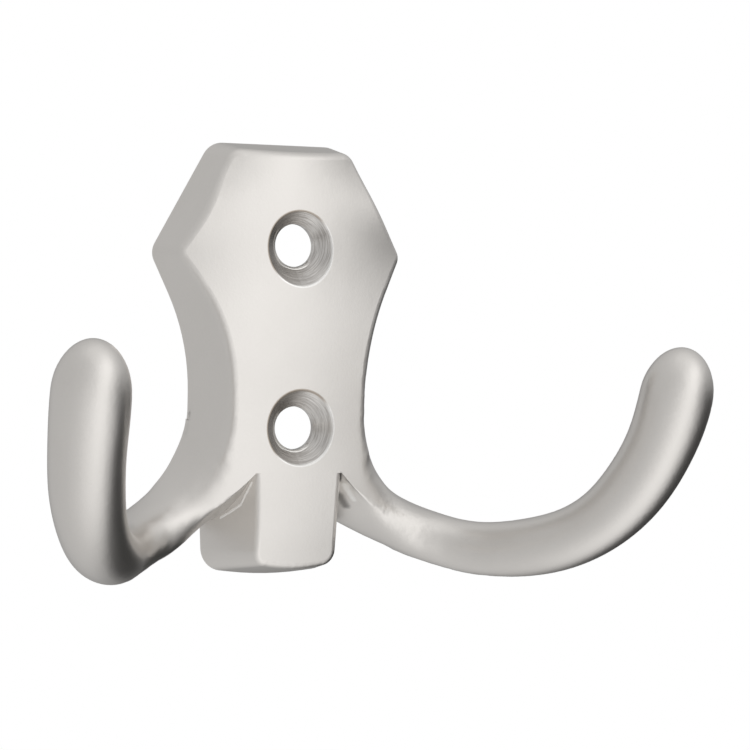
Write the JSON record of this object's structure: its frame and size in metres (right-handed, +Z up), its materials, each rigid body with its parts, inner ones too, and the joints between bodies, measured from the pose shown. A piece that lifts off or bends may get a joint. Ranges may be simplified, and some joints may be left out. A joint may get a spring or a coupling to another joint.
{
  "type": "double robe hook",
  "caption": "Cast wall hook with a waisted, countersunk back plate, a short tapered tongue and two round arms that sweep out, forward and up to domed tips",
  "frame": {"origin": "on the wall plane, midway between the two screw holes", "axes": "+Z up the wall, -Y straight out from the wall to the front, +X to the right as seen from the front"},
  "size_m": [0.0774, 0.0335, 0.0476],
  "materials": {
    "satin_nickel": "fine-blasted satin nickel plate over a zinc casting"
  },
  "bodies": {
    "root": {"double_hook": "satin_nickel"}
  },
  "joints": []
}
